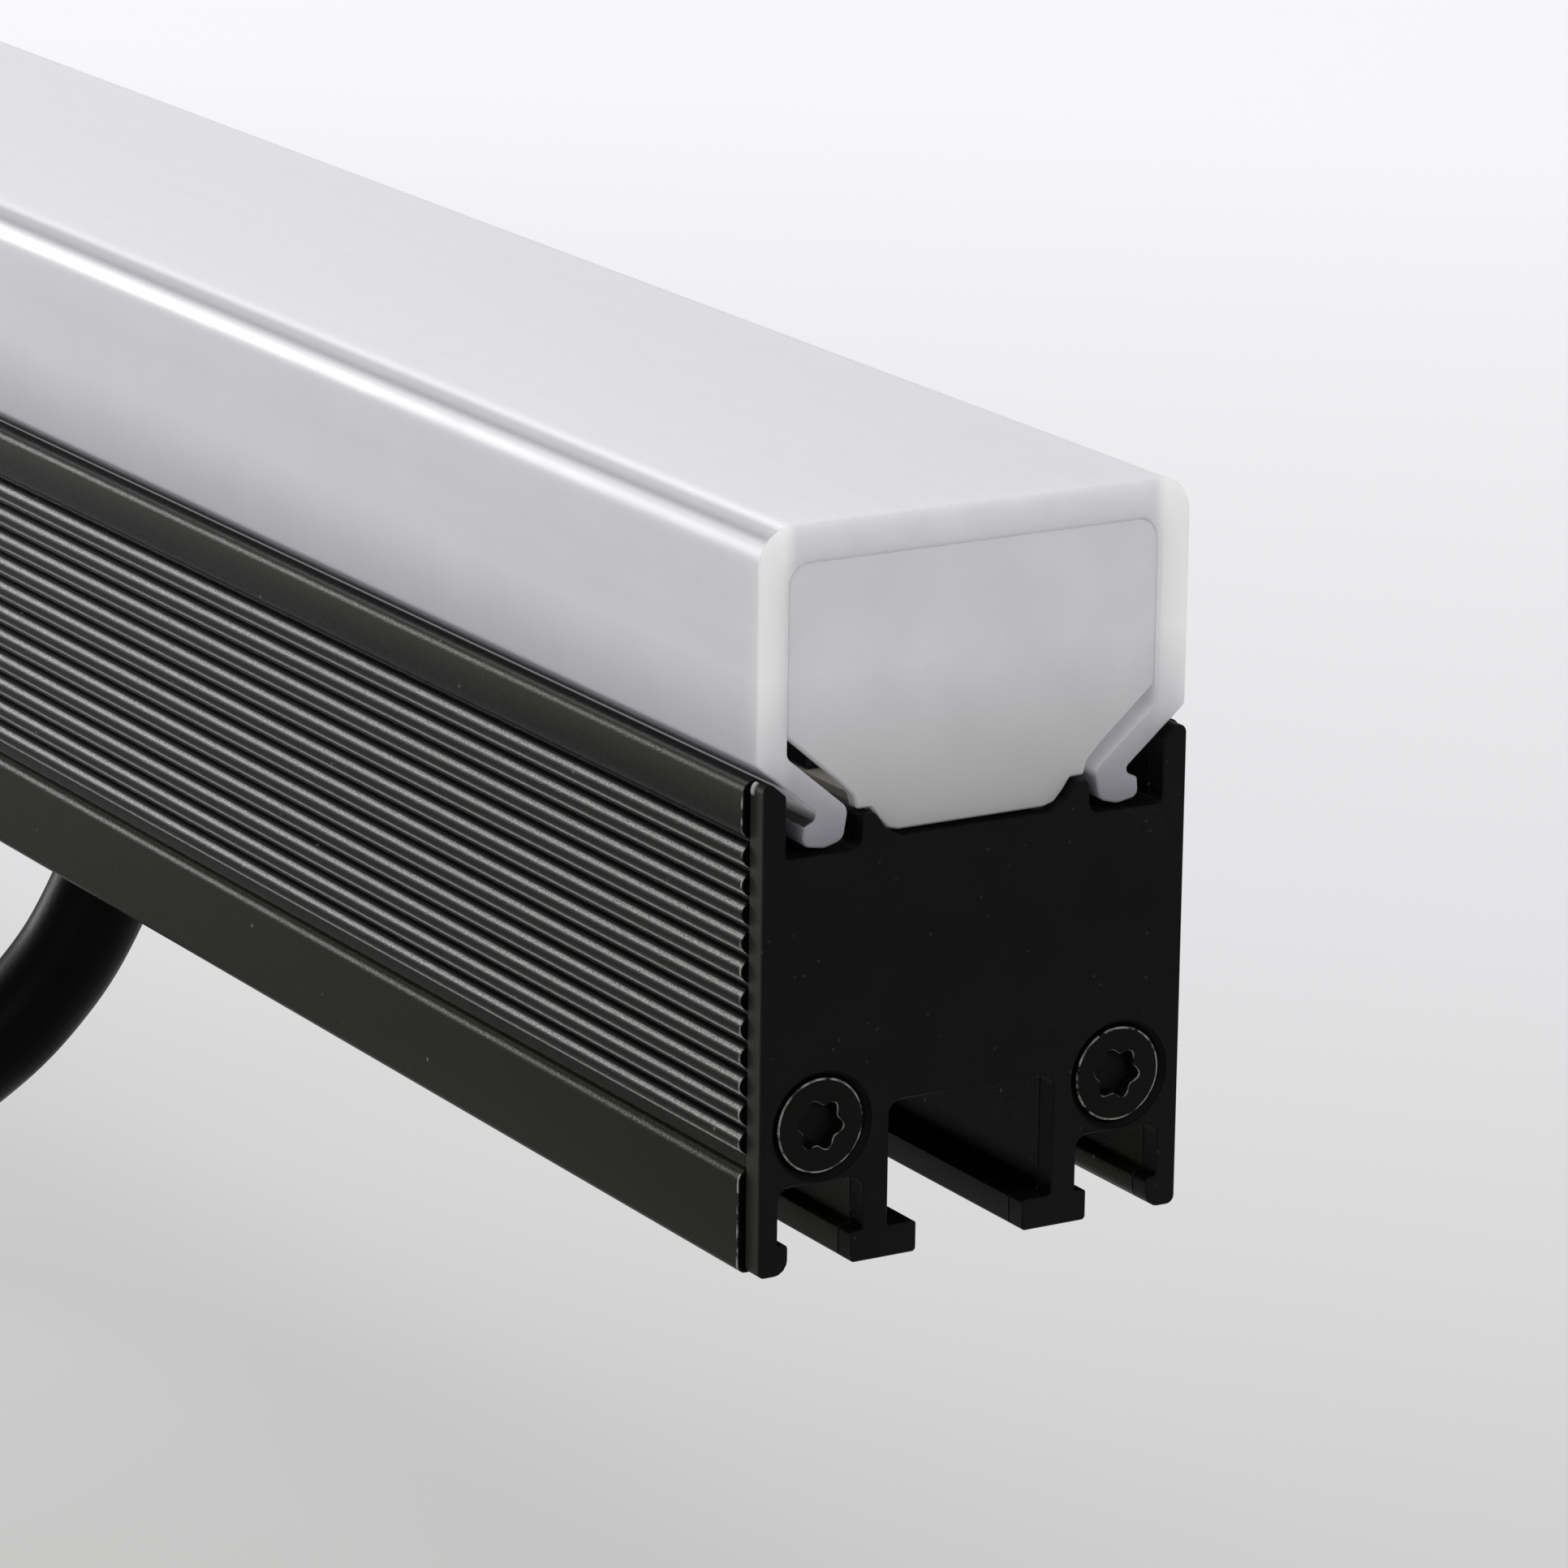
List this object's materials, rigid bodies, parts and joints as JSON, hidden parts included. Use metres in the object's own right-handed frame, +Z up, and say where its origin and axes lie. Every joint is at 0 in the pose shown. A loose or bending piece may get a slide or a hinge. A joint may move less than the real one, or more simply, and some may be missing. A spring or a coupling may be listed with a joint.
{
  "type": "outdoor wall washer light",
  "caption": "Black grooved aluminium linear wall washer with an opal cover, screwed end plates, two tilting slot brackets and a black power lead with a waterproof connector",
  "frame": {"origin": "middle of the light, on the surface its feet stand on", "axes": "+X along the light to the end whose plate is at the lead's side, +Z up, the lead leaves towards -Y"},
  "size_m": [0.6, 0.068, 0.079],
  "materials": {
    "black_aluminium": "satin black anodised aluminium",
    "plate_black": "matt black painted aluminium plate",
    "black_steel": "blackened steel screws",
    "black_steel_plate": "black powder coated steel",
    "steel": "plain stainless steel",
    "opal_plastic": "opal white glossy plastic",
    "opal_plug": "opal white plastic plug",
    "board_white": "cream white solder mask",
    "tape_grey": "grey heat tape",
    "phosphor": "yellow phosphor over a light source",
    "black_plastic": "black moulded plastic",
    "white_plastic": "white moulded plastic",
    "wire_red": "red wire insulation",
    "seal_rubber": "dark sealing rubber",
    "seal_red": "red sealing ring",
    "lead_rubber": "black rubber cable sheath",
    "contact_brass": "brass contact pins"
  },
  "bodies": {
    "light": {"housing": "black_aluminium", "end_plate_right": "plate_black", "end_plate_left": "plate_black", "end_screws_right": "black_steel", "end_screws_left": "black_steel", "chamber_seal_right": "seal_rubber", "chamber_seal_left": "seal_rubber", "opal_cover": "opal_plastic", "end_plug_right": "opal_plug", "end_plug_left": "opal_plug", "lamp_board": "board_white", "heat_tape": "tape_grey", "light_sources": "phosphor", "driver_chips": "black_plastic", "board_resistors": "black_plastic", "surge_blocks": "black_plastic", "board_screws": "steel", "wire_terminal": "white_plastic", "wire_live": "wire_red", "wire_return": "black_plastic", "gland_body": "black_plastic", "gland_seal": "seal_rubber", "gland_locknut": "black_plastic", "power_lead": "lead_rubber", "bend_relief": "lead_rubber", "connector_grip": "black_plastic", "connector_insert": "white_plastic", "contact_pins": "contact_brass", "connector_seal": "seal_red"},
    "left_slider": {"left_saddle": "black_aluminium", "left_slot_nut": "steel", "left_clamp_screws": "steel"},
    "left_tilting_foot": {"left_foot": "black_steel_plate", "left_tilt_pin": "steel", "left_pin_nut": "steel", "left_washers": "steel", "left_friction_washers": "white_plastic"},
    "right_slider": {"right_saddle": "black_aluminium", "right_slot_nut": "steel", "right_clamp_screws": "steel"},
    "right_tilting_foot": {"right_foot": "black_steel_plate", "right_tilt_pin": "steel", "right_pin_nut": "steel", "right_washers": "steel", "right_friction_washers": "white_plastic"},
    "screw_ring": {"coupling_ring": "black_plastic"}
  },
  "joints": [
    {"name": "left_slide", "type": "slide", "parent": "light", "child": "left_slider", "axis": [1, 0, 0], "range_m": [-0.15, 0.065]},
    {"name": "left_tilt", "type": "hinge", "parent": "left_slider", "child": "left_tilting_foot", "pos_m": [-0.095, 0, 0.017], "axis": [1, 0, 0], "range_deg": [-75, 75]},
    {"name": "right_slide", "type": "slide", "parent": "light", "child": "right_slider", "axis": [1, 0, 0], "range_m": [-0.065, 0.045]},
    {"name": "right_tilt", "type": "hinge", "parent": "right_slider", "child": "right_tilting_foot", "pos_m": [0.095, 0, 0.017], "axis": [1, 0, 0], "range_deg": [-75, 75]},
    {"name": "ring_turn", "type": "hinge", "parent": "light", "child": "screw_ring", "pos_m": [-0.222, -0.041, 0.009], "axis": [1, 0, 0], "continuous": true}
  ],
  "couplings": [
    {"joint": "right_tilt", "follows": "left_tilt", "ratio": 1}
  ]
}
